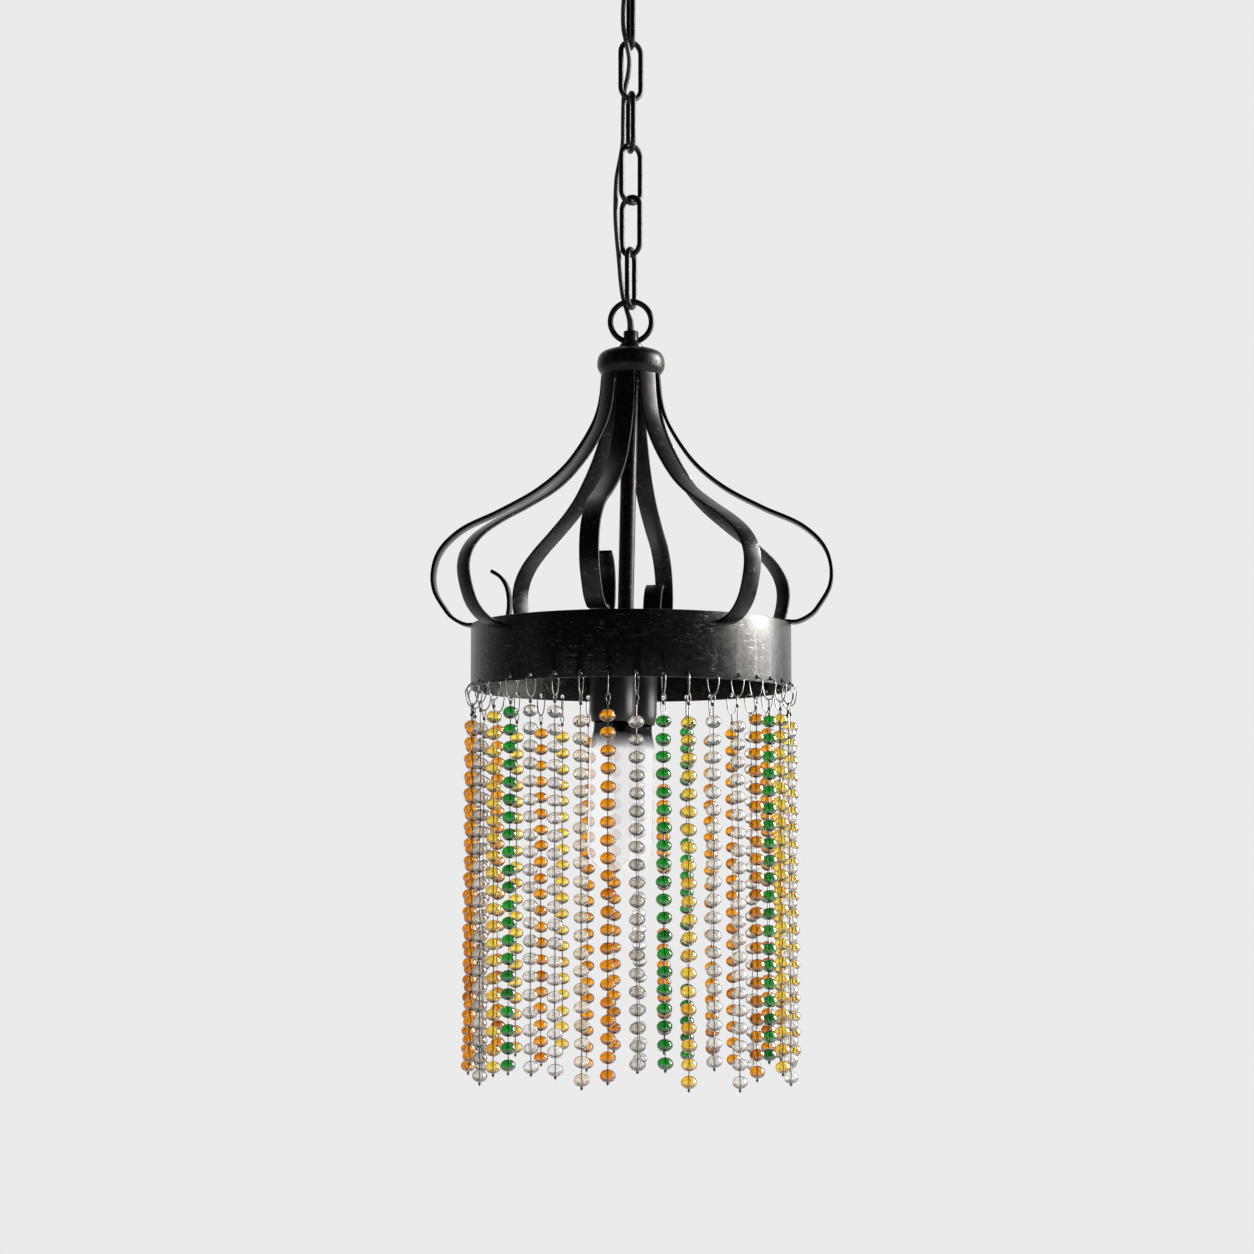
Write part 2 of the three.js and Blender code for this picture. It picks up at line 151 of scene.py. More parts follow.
# Cap
CAP_TOP_RADIUS = 0.0077
CAP_RADIUS = 0.0235
CAP_FOOT_RADIUS = 0.0202
CAP_BORE_RADIUS = 0.0061
CAP_SEAT_RADIUS = 0.0082
CAP_SHARES = (
    (0.05, 0.905), (0.3, 0.88), (0.59, 0.83), (0.8, 0.755), (0.93, 0.64), (1, 0.42), (0.97, 0.22),
)
CAP_SCREW_AZIMUTH = 52
CAP_SCREW_DROP = 0.014
CAP_SCREW_SINK = 0.0003
CAP_SCREW_OUTLINE = (
    (0, -0.001), (0.0016, -0.001), (0.0016, 0.0004), (0.0009, 0.0004), (0.0009, -0.0004),
    (0, -0.0004),
)
CAP_SCREW_ROUNDING = 0.0001

# Cage strips, on the CAD strips' routes
STRIP_WIDTH = 0.013
STRIP_THICKNESS = 0.0024
STRIP_ROUNDING = 0.0006
STRIP_TOP_RADIUS = 0.019
BELLY_RADIUS = 0.1378
STRIP_AZIMUTHS = (-11.3, 34.8, 84.4, 127, 169.6, 216, 264.4, 306.5)
STRIP_STEPS = 96
# Shares of the way out to the belly, and of the way down from the cap's foot to the band's rim
CROSSING_OUTLINE_SHARES = (
    (0, 0), (0.015, 0.098), (0.048, 0.179), (0.152, 0.302), (0.244, 0.377), (0.39, 0.457),
    (0.606, 0.537), (0.838, 0.612), (0.958, 0.692), (0.998, 0.772), (0.99, 0.852), (0.924, 0.93),
)
WELDED_OUTLINE_SHARES = (
    (0, 0), (0.015, 0.1), (0.046, 0.187), (0.143, 0.308), (0.299, 0.434), (0.417, 0.5),
    (0.593, 0.571), (0.785, 0.642), (0.912, 0.703), (0.979, 0.763), (0.998, 0.829), (0.951, 0.944),
    (0.896, 0.993),
)
WELDED_END_SHARES = ((0.833, 1.022), (0.77, 1.035), (0.76, 1.0357))
# Shares of the band's radius, and of the cage's height above the strip's seat on the rim
CROSSING_SHARES = ((1.135, 0.031), (1.07, 0.006), (1.02, -0.003), (0.985, 0))
CURL_SHARES = (
    (0.945, -0.009), (0.885, -0.026), (0.825, -0.018), (0.785, 0.013), (0.768, 0.06),
    (0.77, 0.113), (0.79, 0.158), (0.83, 0.192), (0.88, 0.211),
)
LOW_CURL_SHARES = ((0.93, -0.006), (0.86, -0.035), (0.79, -0.04), (0.75, -0.005), (0.745, 0.022))
LOW_CURL_STRIP = 3
STRIP_SEAT_RISE = 0.0008

# Band
BAND_RADIUS = 0.11
BAND_WALL = 0.0016
BAND_STEPS = 180
BAND_ROUNDING = 0.0004
HOLE_RADIUS = 0.0017
HOLE_HEIGHT = 0.0028

# Bead strands
STRAND_AZIMUTHS = (
    1.8, 11, 20, 29.2, 39.6, 48.9, 57.1, 66.5, 77.5, 87.7, 97.9, 108.1,
    118.3, 128.5, 138.4, 148.4, 158.3, 167.5, 177, 186.2, 196.4, 206.9, 216.2, 228,
    239.4, 250, 260.5, 271, 281.4, 292.6, 303.6, 313.4, 322.9, 333, 342.6, 352.1,
)
HOOK_HEIGHT = 0.0152
HOOK_WIDTH = 0.0105
HOOK_WIRE = 0.0009
HOOK_TURN = 24
# Shares of the ring's height: where it starts to narrow above its middle, and over how much
HOOK_PINCH_START_SHARE = 0.2
HOOK_PINCH_REACH_SHARE = 0.7
# The share of its width that it loses
HOOK_PINCH_SHARE = 0.42
EYE_HEIGHT = 0.0062
EYE_WIDTH = 0.0034
EYE_LEAD_SHARE = 0.72
EYE_TURN = 50
STRAND_WIRE = 0.0008
CRIMP_DIAMETER = 0.0022
CRIMP_LENGTH = 0.0022
CRIMP_MOUTH_SHARE = 0.36
CRIMP_ROOM_SHARE = 0.8
END_CRIMP_DIAMETER = 0.0019
END_CRIMP_LENGTH = 0.0016
BEAD_DIAMETER = 0.0107
BEAD_HEIGHT = 0.0084
BEAD_PITCH = 0.0115
BEAD_SIDES = 12
# Shares of a bead's radius and half height, down its outside from the bore
BEAD_SHARES = (
    (0.19, 0.96), (0.45, 0.91), (0.74, 0.68), (0.94, 0.35), (1, 0), (0.94, -0.35), (0.74, -0.68),
    (0.45, -0.91), (0.19, -0.96),
)
BEAD_WIDTH_SHARES = (0.97, 1.0)
BEAD_ROUND_SHARES = (0.96, 1.0)
BEAD_HEIGHT_SHARES = (0.96, 1.04)
BEAD_TILT = 7
BEAD_PLAY = 0.0003
# A bead's depth of tone: its own share of chance, and what it gains down the strand
BEAD_DEPTH_CHANCE = 0.55
BEAD_DEPTH_GAIN = 0.45
STRAND_SEED = 100
STRAND_LEAN = 0.0009
STRAND_LEAN_POWER = 1.5
STRAND_SWAY = 0.0002
# Radians of sway from bead to bead, sideways and outwards, and the second's phase to the first's
STRAND_SWAY_TURNS = (0.9, 0.8)
STRAND_PHASE_RATIO = 1.7
TAIL_LENGTH = 0.0022
# Each strand's glass, its number of beads and its lead wire in bead pitches
STRAND_PLAN = (
    ("smoke", 20, 1.16), ("green", 20, 1.1), ("amber", 21, 1.19), ("clear", 20, 1.07),
    ("clear", 21, 1.3), ("orange", 21, 0.8), ("green", 20, 0.85), ("amber", 21, 0.64),
    ("clear", 21, 1.3), ("amber", 20, 0.86), ("clear", 21, 0.67), ("amber", 20, 1.15),
    ("orange", 20, 0.91), ("clear", 21, 1.05), ("orange", 21, 0.81), ("orange", 20, 1.19),
    ("green", 21, 0.57), ("orange", 20, 1.1), ("clear", 21, 0.86), ("orange", 20, 1),
    ("orange", 21, 1.15), ("amber", 20, 0.91), ("orange", 21, 0.72), ("amber", 20, 1.05),
    ("orange", 20, 0.67), ("smoke", 21, 0.96), ("clear", 20, 1.24), ("orange", 21, 0.76),
    ("orange", 20, 1.13), ("smoke", 21, 1.16), ("amber", 21, 0.57), ("green", 21, 0.4),
    ("clear", 21, 0.4), ("clear", 21, 0.51), ("champagne", 21, 1.06), ("orange", 21, 0.77),
)

# Stem, lampholders and lamps, leaning together
STEM_RADIUS = 0.0055
STEM_BORE_RADIUS = 0.0033
STEM_ROUNDING = 0.0003
STEM_LEAN = 1.2
LEAN_GAP = 0.0003
CROSSBAR_LENGTH = 0.046
CROSSBAR_WIDTH = 0.016
CROSSBAR_HEIGHT = 0.006
CROSSBAR_ROUNDING = 0.0008
HOLDER_AZIMUTH = -27
HOLDER_SPACING = 0.033
HOLDER_RADIUS = 0.0155
HOLDER_HEIGHT = 0.042
HOLDER_TOP_BEVEL = 0.0014
HOLDER_TOP_HEIGHT = 0.0044
HOLDER_ROUNDING = 0.0003
HOLDER_LIP_HEIGHT = 0.0068
HOLDER_LIP_RADIUS = 0.0141
HOLDER_BORE_RADIUS = 0.0131
HOLDER_BORE_DEPTH = 0.032
STEM_DROP = 0.208
SHANK_LENGTH = 0.007
LAMP_NECK_RADIUS = 0.0125
LAMP_RADIUS = 0.015
LAMP_REACH = 0.1008
LAMP_NECK_HEIGHT = 0.005
LAMP_SHOULDER_HEIGHT = 0.014
LAMP_SHOULDER_SLOPE = 0.0004
LAMP_SHOULDER_BEND = 0.004
LAMP_NECK_FLARE = 0.0005
LAMP_NECK_BEND = 0.003
LAMP_WALL = 0.0005
LAMP_END_STEPS = 12
LAMP_SINK = 0.004
# Radius and height above the holder's lip
LAMP_BASE_OUTLINE = (
    (0, 0.003), (LAMP_NECK_RADIUS, 0.003), (LAMP_NECK_RADIUS, 0.0205), (0.006, 0.0225),
    (0.006, 0.0238), (0, 0.0238),
)
# Heights between which a lamp's glass turns grey towards its neck
LAMP_GREY_TOP = -0.572
LAMP_GREY_FOOT = -0.583

# Camera: the photograph's focal length and eye level, in its own pixels
PHOTO_WIDTH = 1254
PHOTO_FOCAL = 2692
PHOTO_SCALE = 0.0006875
EYE_RISE = 280
CAP_TOP_RISE = 564.6
CAMERA_DISTANCE = 1.8425
AXIS_OFFSET = 4
SENSOR_WIDTH = 36


# Camera

def add_camera():
    """The photograph's view, set by where the cap's top and the axis are in it."""
    cap_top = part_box("cap")[1].z
    data = bpy.data.cameras.new("camera")
    data.sensor_width = SENSOR_WIDTH
    data.lens = PHOTO_FOCAL / PHOTO_WIDTH * SENSOR_WIDTH
    camera = bpy.data.objects.new("camera", data)
    camera.location = (
        -AXIS_OFFSET * PHOTO_SCALE, -CAMERA_DISTANCE, cap_top - CAP_TOP_RISE * PHOTO_SCALE,
    )
    camera.rotation_euler = (math.pi / 2 + math.atan(EYE_RISE / PHOTO_FOCAL), 0, 0)
    bpy.context.scene.collection.objects.link(camera)
    bpy.context.scene.camera = camera


add_camera()


# Paths

def at_azimuth(azimuth, radius, height):
    """A point by its azimuth, its distance from the axis and its height."""
    turn = math.radians(azimuth)
    return Vector((radius * math.sin(turn), -radius * math.cos(turn), height))


def outward_place(azimuth, radius, height):
    """A place whose Z looks straight away from the axis."""
    place = at_azimuth(azimuth, radius, height)
    outward = Vector((place.x, place.y, 0)).to_track_quat("Z", "Y")
    return Matrix.Translation(place) @ outward.to_matrix().to_4x4()


def smooth_path(places, steps):
    """Evenly spaced points on one smooth curve through the places."""
    places = [Vector(place) for place in places]
    places = [2 * places[0] - places[1], *places, 2 * places[-1] - places[-2]]
    fine = []
    for a, b, c, d in zip(places, places[1:], places[2:], places[3:]):
        before, along, after = (math.sqrt((q - p).length) for p, q in ((a, b), (b, c), (c, d)))
        leave = along * ((b - a) / before - (c - a) / (before + along) + (c - b) / along)
        arrive = along * ((c - b) / along - (d - b) / (along + after) + (d - c) / after)
        for step in range(24):
            t = step / 24
            fine.append(
                b + leave * t + (3 * (c - b) - 2 * leave - arrive) * t ** 2
                + (2 * (b - c) + leave + arrive) * t ** 3
            )
    fine.append(places[-2])
    lengths = [0]
    for a, b in zip(fine, fine[1:]):
        lengths.append(lengths[-1] + (b - a).length)
    path = []
    k = 0
    for step in range(steps + 1):
        wanted = lengths[-1] * step / steps
        while k < len(fine) - 2 and lengths[k + 1] < wanted:
            k += 1
        share = (wanted - lengths[k]) / (lengths[k + 1] - lengths[k])
        path.append(fine[k].lerp(fine[k + 1], share))
    return path


def oval_path(width, height, steps, straight=0):
    """A closed oval in the XZ plane, its two ends drawn apart by a straight stretch."""
    path = []
    for step in range(steps):
        turn = 2 * math.pi * (step + 0.5) / steps
        rise = math.copysign(straight / 2, math.sin(turn))
        path.append(Vector((width / 2 * math.cos(turn), 0, height / 2 * math.sin(turn) + rise)))
    return path


def stations(path, across, closed=False):
    """A place and direction at each point of a path: Z along it, X near the given direction."""
    found = []
    for i, place in enumerate(path):
        after = path[(i + 1) % len(path)] if closed or i + 1 < len(path) else place
        before = path[i - 1] if closed or i > 0 else place
        along = (after - before).normalized()
        across = (across - along * across.dot(along)).normalized()
        turn = Matrix((across, along.cross(across), along)).transposed().to_4x4()
        found.append(Matrix.Translation(place) @ turn)
    return found


# Mesh helpers

def round_section(bm, radius, sides=WIRE_SIDES):
    """The vertices of a circle in the XY plane."""
    return bmesh.ops.create_circle(bm, segments=sides, radius=radius)["verts"]


def flat_section(bm, width, thickness, rounding):
    """A rectangle's outline with rounded corners."""
    known = set(bm.verts)
    corners = bmesh.ops.create_grid(bm, x_segments=1, y_segments=1, size=0.5)["verts"]
    bmesh.ops.scale(bm, vec=(width, thickness, 1), verts=corners)
    bmesh.ops.bevel(
        bm, geom=corners, offset=rounding, offset_type="OFFSET", segments=2, profile=0.5,
        affect="VERTICES", material=-1,
    )
    corners = [vert for vert in bm.verts if vert not in known]
    faces = list({face for vert in corners for face in vert.link_faces})
    bmesh.ops.delete(bm, geom=faces, context="FACES_ONLY")
    return corners


def sweep(bm, path, across, section, closed=False):
    """Carries a section along a path, and caps its ends or joins them into a ring."""
    places = stations(path, across, closed)
    verts = section
    edges = list({edge for vert in verts for edge in vert.link_edges})
    bmesh.ops.transform(bm, matrix=places[0], verts=verts)
    first = edges
    made = list(verts)
    for last, place in zip(places, places[1:]):
        grown = bmesh.ops.extrude_edge_only(bm, edges=edges)["geom"]
        verts = [part for part in grown if isinstance(part, bmesh.types.BMVert)]
        edges = [
            part for part in grown if isinstance(part, bmesh.types.BMEdge) and part.is_boundary
        ]
        bmesh.ops.transform(bm, matrix=place @ last.inverted(), verts=verts)
        made += verts
    if closed:
        bmesh.ops.bridge_loops(bm, edges=first + edges)
    else:
        bmesh.ops.contextual_create(bm, geom=first)
        bmesh.ops.contextual_create(bm, geom=edges)
    return made


def turned(bm, outline, steps):
    """Spins an outline of radius and height pairs once round Z."""
    verts = [bm.verts.new((radius, 0, height)) for radius, height in outline]
    edges = [bm.edges.new(pair) for pair in zip(verts, verts[1:])]
    known = set(bm.verts) - set(verts)
    bmesh.ops.spin(
        bm, geom=verts + edges, cent=(0, 0, 0), axis=(0, 0, 1), angle=2 * math.pi, steps=steps,
        use_merge=True, use_duplicate=False,
    )
    made = [vert for vert in bm.verts if vert not in known]
    bmesh.ops.remove_doubles(bm, verts=made, dist=1e-6)
    return [vert for vert in bm.verts if vert not in known]


def soften(bm, angle, width):
    """Rounds every edge whose faces meet at more than the angle."""
    sharp = [
        edge for edge in bm.edges
        if len(edge.link_faces) == 2 and edge.calc_face_angle() > math.radians(angle)
    ]
    bmesh.ops.bevel(
        bm, geom=sharp, offset=width, offset_type="OFFSET", segments=2, profile=0.5,
        affect="EDGES", material=-1, clamp_overlap=True,
    )


def paint(verts, index):
    """Gives the faces of these vertices a material slot."""
    for face in {face for vert in verts for face in vert.link_faces}:
        face.material_index = index


def add_mesh(name, bm, finishes, sharp_angle=40):
    """Ends a bmesh in an object at the origin, with its faces outwards."""
    bmesh.ops.recalc_face_normals(bm, faces=bm.faces)
    mesh = bpy.data.meshes.new(name)
    bm.to_mesh(mesh)
    bm.free()
    for finish in finishes:
        mesh.materials.append(finish)
    mesh.shade_smooth()
    mesh.set_sharp_from_angle(angle=math.radians(sharp_angle))
    piece = bpy.data.objects.new(name, mesh)
    bpy.context.scene.collection.objects.link(piece)
    return piece


def add_piece(name, bm, finishes, body, slot, *nodes, sharp_angle=40):
    """Adds a mesh that rides on a body and takes the place of the named CAD solids."""
    piece = add_mesh(name, bm, finishes, sharp_angle)
    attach(piece, body)
    if nodes:
        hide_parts(*nodes)
    return piece


# Shader maths

class Value:
    """A socket that takes part in Python sums by adding Math nodes."""

    def __init__(self, finish, socket):
        self.finish = finish
        self.socket = socket

    def _math(self, operation, first, second):
        node = self.finish.add("ShaderNodeMath", {"operation": operation}, {0: first, 1: second})
        return Value(self.finish, node.outputs[0])

    def __add__(self, other):
        return self._math("ADD", self, other)

    def __radd__(self, other):
        return self._math("ADD", other, self)

    def __sub__(self, other):
        return self._math("SUBTRACT", self, other)

    def __rsub__(self, other):
        return self._math("SUBTRACT", other, self)

    def __mul__(self, other):
        return self._math("MULTIPLY", self, other)

    def __rmul__(self, other):
        return self._math("MULTIPLY", other, self)


class Finish:
    """The nodes of a material, or of the world, built one call a node."""

    def __init__(self, owner):
        owner.use_nodes = True
        self.owner = owner
        self.tree = owner.node_tree
        self.tree.nodes.clear()

    def add(self, kind, settings=None, sockets=None):
        """A node of this type, with its settings, and values or links in its sockets."""
        node = self.tree.nodes.new(kind)
        for key, value in (settings or {}).items():
            setattr(node, key, value)
        for key, value in (sockets or {}).items():
            if isinstance(value, Value):
                self.tree.links.new(value.socket, node.inputs[key])
            else:
                node.inputs[key].default_value = value
        return node

    def place(self, scale=(1, 1, 1)):
        """The object's own coordinates, stretched along its axes."""
        coordinates = self.add("ShaderNodeTexCoord").outputs["Object"]
        mapping = self.add("ShaderNodeMapping", None, {
            "Vector": Value(self, coordinates), "Scale": scale,
        })
        return Value(self, mapping.outputs[0])

    def noise(self, scale, detail=4, roughness=0.55, stretch=(1, 1, 1), distortion=0):
        node = self.add("ShaderNodeTexNoise", None, {
            "Vector": self.place(stretch), "Scale": scale, "Detail": detail,
            "Roughness": roughness, "Distortion": distortion,
        })
        return Value(self, node.outputs[0])

    def span(self, value, low, high, start=0.0, end=1.0):
        """The value's stretch from low to high, mapped on start to end and held there."""
        node = self.add("ShaderNodeMapRange", {"clamp": True}, {
            "Value": value, "From Min": low, "From Max": high, "To Min": start, "To Max": end,
        })
        return Value(self, node.outputs[0])

    def blend(self, factor, first, second):
        """A colour between two colours."""
        node = self.add("ShaderNodeMix", {"data_type": "RGBA"}, {0: factor, 6: first, 7: second})
        return Value(self, node.outputs[2])

    def bump(self, height, distance, strength=1.0):
        node = self.add("ShaderNodeBump", None, {
            "Height": height, "Distance": distance, "Strength": strength,
        })
        return Value(self, node.outputs[0])

    def shade(self, **sockets):
        """Ends the material in a Principled shader; underscores stand for spaces."""
        named = {key.replace("_", " "): value for key, value in sockets.items()}
        shader = self.add("ShaderNodeBsdfPrincipled", None, named)
        self.add("ShaderNodeOutputMaterial", None, {"Surface": Value(self, shader.outputs[0])})
        return self.owner


def new_finish(name):
    return Finish(bpy.data.materials.new(name))


def tone(red, green, blue):
    return (red, green, blue, 1)


# Finishes

BEAD_DEPTH = "bead_depth"


def worn_iron(name, dark, grey, scratch_stretch, wear):
    """Blackened iron under wax, with fine silvery scratches where it is rubbed."""
    finish = new_finish(name)
    mottle = finish.noise(240, 5, 0.6)
    blotch = finish.noise(30, 3, 0.5)
    speckle = finish.noise(1300, 3, 0.6)
    scratches = finish.noise(1, 3, 0.6, scratch_stretch, 1.2)
    scratch = finish.span(scratches, 0.62, 0.68) * finish.span(blotch, 0.38, 0.62)
    base = finish.blend(finish.span(mottle, 0.35, 0.75), dark, grey)
    colour = finish.blend(scratch * wear, base, tone(0.34, 0.32, 0.29))
    rough = 0.27 + 0.08 * mottle + 0.05 * speckle - 0.06 * scratch
    height = 0.35 * mottle + 0.25 * blotch + 0.15 * speckle + 0.25 * scratch
    return finish.shade(
        Base_Color=colour, Metallic=finish.span(scratch, 0, 1, 0.9, 0.6), Roughness=rough,
        Normal=finish.bump(height, 0.00022, 0.5),
    )


def black_steel(name):
    """Smooth blackened wire of the chain and loops."""
    finish = new_finish(name)
    cloud = finish.noise(120, 4, 0.6)
    grain = finish.noise(1400, 2, 0.5)
    rub = finish.span(finish.noise(240, 3, 0.6), 0.6, 0.75)
    colour = finish.blend(cloud, tone(0.01, 0.0095, 0.009), tone(0.03, 0.028, 0.026))
    colour = finish.blend(rub * 0.5, colour, tone(0.09, 0.085, 0.08))
    return finish.shade(
        Base_Color=colour, Metallic=0.92, Roughness=0.24 + 0.14 * cloud + 0.05 * grain,
        Normal=finish.bump(0.7 * cloud + 0.3 * grain, 0.0002, 0.5),
    )


def bright_wire():
    """Silvery hook and strand wire, dulled in places."""
    finish = new_finish("strand_wire")
    dull = finish.noise(700, 3, 0.6)
    colour = finish.blend(dull, tone(0.13, 0.125, 0.115), tone(0.46, 0.44, 0.41))
    return finish.shade(
        Base_Color=colour, Metallic=1.0, Roughness=0.22 + 0.2 * dull,
        Normal=finish.bump(dull, 0.0001, 0.3),
    )


def dark_crimp():
    """Dull metal of the crimps at a strand's two ends."""
    finish = new_finish("crimp_metal")
    dull = finish.noise(900, 3, 0.6)
    colour = finish.blend(dull, tone(0.05, 0.045, 0.04), tone(0.16, 0.15, 0.13))
    return finish.shade(
        Base_Color=colour, Metallic=1.0, Roughness=0.3 + 0.2 * dull,
        Normal=finish.bump(dull, 0.0001, 0.5),
    )


def cord_sheath():
    """Black cord sheath with faint cross ribs."""
    finish = new_finish("cord_sheath")
    cloud = finish.noise(220, 3, 0.5)
    ribs = finish.noise(1, 2, 0.5, (150, 150, 1600))
    colour = finish.blend(cloud, tone(0.006, 0.006, 0.006), tone(0.02, 0.02, 0.02))
    return finish.shade(
        Base_Color=colour, Roughness=0.42 + 0.16 * cloud,
        Normal=finish.bump(0.6 * ribs + 0.4 * cloud, 0.00015, 0.6),
    )


def holder_shell():
    """Satin black lampholder shells."""
    finish = new_finish("holder_shell")
    cloud = finish.noise(160, 4, 0.6)
    grain = finish.noise(1500, 2, 0.5)
    colour = finish.blend(cloud, tone(0.006, 0.006, 0.006), tone(0.013, 0.012, 0.012))
    return finish.shade(
        Base_Color=colour, Metallic=0.0, Roughness=0.24 + 0.1 * cloud + 0.06 * grain, IOR=1.33,
        Normal=finish.bump(0.6 * cloud + 0.4 * grain, 0.00012, 0.5),
    )


def lamp_metal():
    """Dull silvery screw base inside the holder."""
    finish = new_finish("lamp_base_metal")
    dull = finish.noise(500, 3, 0.6)
    colour = finish.blend(dull, tone(0.3, 0.28, 0.25), tone(0.5, 0.48, 0.44))
    return finish.shade(
        Base_Color=colour, Metallic=1.0, Roughness=0.28 + 0.2 * dull,
        Normal=finish.bump(dull, 0.0001, 0.4),
    )


def lamp_glass():
    """Thin hazy glass with a painted glow that pales what lies behind it and painted shade greying its rim,
    greyed inside its neck.
    """
    finish = new_finish("lamp_glass")
    haze = finish.noise(140, 4, 0.6)
    height = finish.add("ShaderNodeSeparateXYZ", None, {0: finish.place()}).outputs["Z"]
    greyed_neck = finish.span(Value(finish, height) + 0.004 * haze, LAMP_GREY_FOOT, LAMP_GREY_TOP)
    facing = finish.add("ShaderNodeLayerWeight", None, {"Blend": 0.5}).outputs["Facing"]
    # Painted shade: the glass greys towards its rim
    edge = finish.span(Value(finish, facing) + 0.04 * haze, 0.7, 1)
    clear = finish.blend(edge, tone(0.65, 0.65, 0.65), tone(0.52, 0.51, 0.5))
    # Painted glow: the unlit glass gives off a faint light of its own, except inside its neck
    glow = finish.blend(greyed_neck, tone(0.14, 0.14, 0.14), tone(0, 0, 0))
    return finish.shade(
        Base_Color=finish.blend(greyed_neck, clear, tone(0.13, 0.13, 0.13)), Emission_Color=glow,
        Roughness=finish.span(haze, 0.45, 0.8, 0.0, 0.02), IOR=1.03, Transmission_Weight=1.0,
        Emission_Strength=1.0,
    )


def bead_glass(name, light, deep_and_rim_shade):
    """Clear coloured glass, each bead of a depth of its own, with painted shade darkening its rim and
    painted dark patches near the rim.
    """
    finish = new_finish(name)
    cloud = finish.noise(70, 3, 0.5)
    swirl = finish.noise(300, 2, 0.5)
    facing = finish.add("ShaderNodeLayerWeight", None, {"Blend": 0.5}).outputs["Facing"]
    facing = Value(finish, facing) + 0.2 * cloud + 0.1 * swirl
    own = finish.add("ShaderNodeAttribute", {"attribute_name": BEAD_DEPTH}).outputs["Fac"]
    own = Value(finish, own)
    # Painted shade: a near-black tone of the deep colour, for the painted dark patches near the rim
    dark = tone(*(share * 0.15 for share in deep_and_rim_shade[:3]))
    # Painted shade as well as real tone: the colour deepens towards each bead's rim by its facing, and by
    # the bead's own depth
    depth = finish.span(facing, 0.3, 0.8) * (0.5 + 0.4 * own) + 0.75 * own * own
    colour = finish.blend(finish.span(depth, 0, 1), light, deep_and_rim_shade)
    # Painted shade: dark patches near the rim
    painted_patch_shade = finish.span(facing + 0.9 * swirl, 1.07, 1.25)
    colour = finish.blend(0.9 * painted_patch_shade, colour, dark)
    return finish.shade(
        Base_Color=colour, Roughness=finish.span(swirl, 0.5, 0.8, 0.0, 0.02), IOR=1.6,
        Transmission_Weight=1.0, Normal=finish.bump(swirl, 0.00005, 0.15),
        Coat_Weight=0.4, Coat_IOR=1.6, Coat_Roughness=0.02,
    )


def bored_glass():
    """The drilled wall of a bead's bore."""
    finish = new_finish("glass_bore_wall")
    grind = finish.noise(1200, 3, 0.6)
    colour = finish.blend(grind, tone(0.93, 0.93, 0.93), tone(1, 1, 1))
    return finish.shade(
        Base_Color=colour, Roughness=finish.span(grind, 0.3, 0.7, 0.0, 0.1), IOR=1.5,
        Transmission_Weight=1.0,
    )


iron = worn_iron(
    "worn_iron", tone(0.009, 0.0085, 0.008), tone(0.022, 0.0205, 0.019), (260, 260, 260), 0.25,
)
band_iron = worn_iron(
    "band_iron", tone(0.013, 0.012, 0.011), tone(0.03, 0.028, 0.025), (190, 190, 1500), 0.6,
)
steel = black_steel("black_steel")
wire = bright_wire()
crimp = dark_crimp()
sheath = cord_sheath()
shell = holder_shell()
base_metal = lamp_metal()
clear_lamp = lamp_glass()
bore_wall_glass = bored_glass()
glasses = {
    "smoke": bead_glass("glass_smoke", tone(0.74, 0.72, 0.67), tone(0.08, 0.075, 0.06)),
    "green": bead_glass("glass_green", tone(0.02, 0.4, 0.04), tone(0.001, 0.04, 0.004)),
    "amber": bead_glass("glass_amber", tone(1, 0.78, 0.1), tone(0.72, 0.24, 0.003)),
    "clear": bead_glass("glass_clear", tone(1, 0.99, 0.98), tone(0.5, 0.47, 0.43)),
    "champagne": bead_glass("glass_champagne", tone(1, 0.94, 0.83), tone(0.58, 0.44, 0.28)),
    "orange": bead_glass("glass_orange", tone(1, 0.4, 0.008), tone(0.36, 0.038, 0.0005)),
}


# Canopy and screw loops

def add_canopy():
    """A shallow dish against the ceiling, with a hole for the loop's neck."""
    low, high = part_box("canopy")
    radius, depth = high.x, -low.z
    shoulder = radius - depth / 2
    edge = radius - CANOPY_RIM_FLAT
    top = smooth_path([
        (CANOPY_HOLE_RADIUS, 0, -depth), (shoulder * 0.5, 0, -depth),
        (shoulder, 0, -depth * 0.86), (edge, 0, -depth * 0.4), (radius, 0, -CANOPY_WALL),
        (radius, 0, 0),
    ], 40)
    outside = [(place.x, max(place.z, -depth)) for place in top]
    inside = [(min(r, edge), min(h + CANOPY_WALL, 0)) for r, h in outside]
    bm = bmesh.new()
    turned(bm, outside + inside[::-1] + outside[:1], 96)
    add_piece("canopy_dish", bm, [iron], "ceiling", "iron", "canopy")


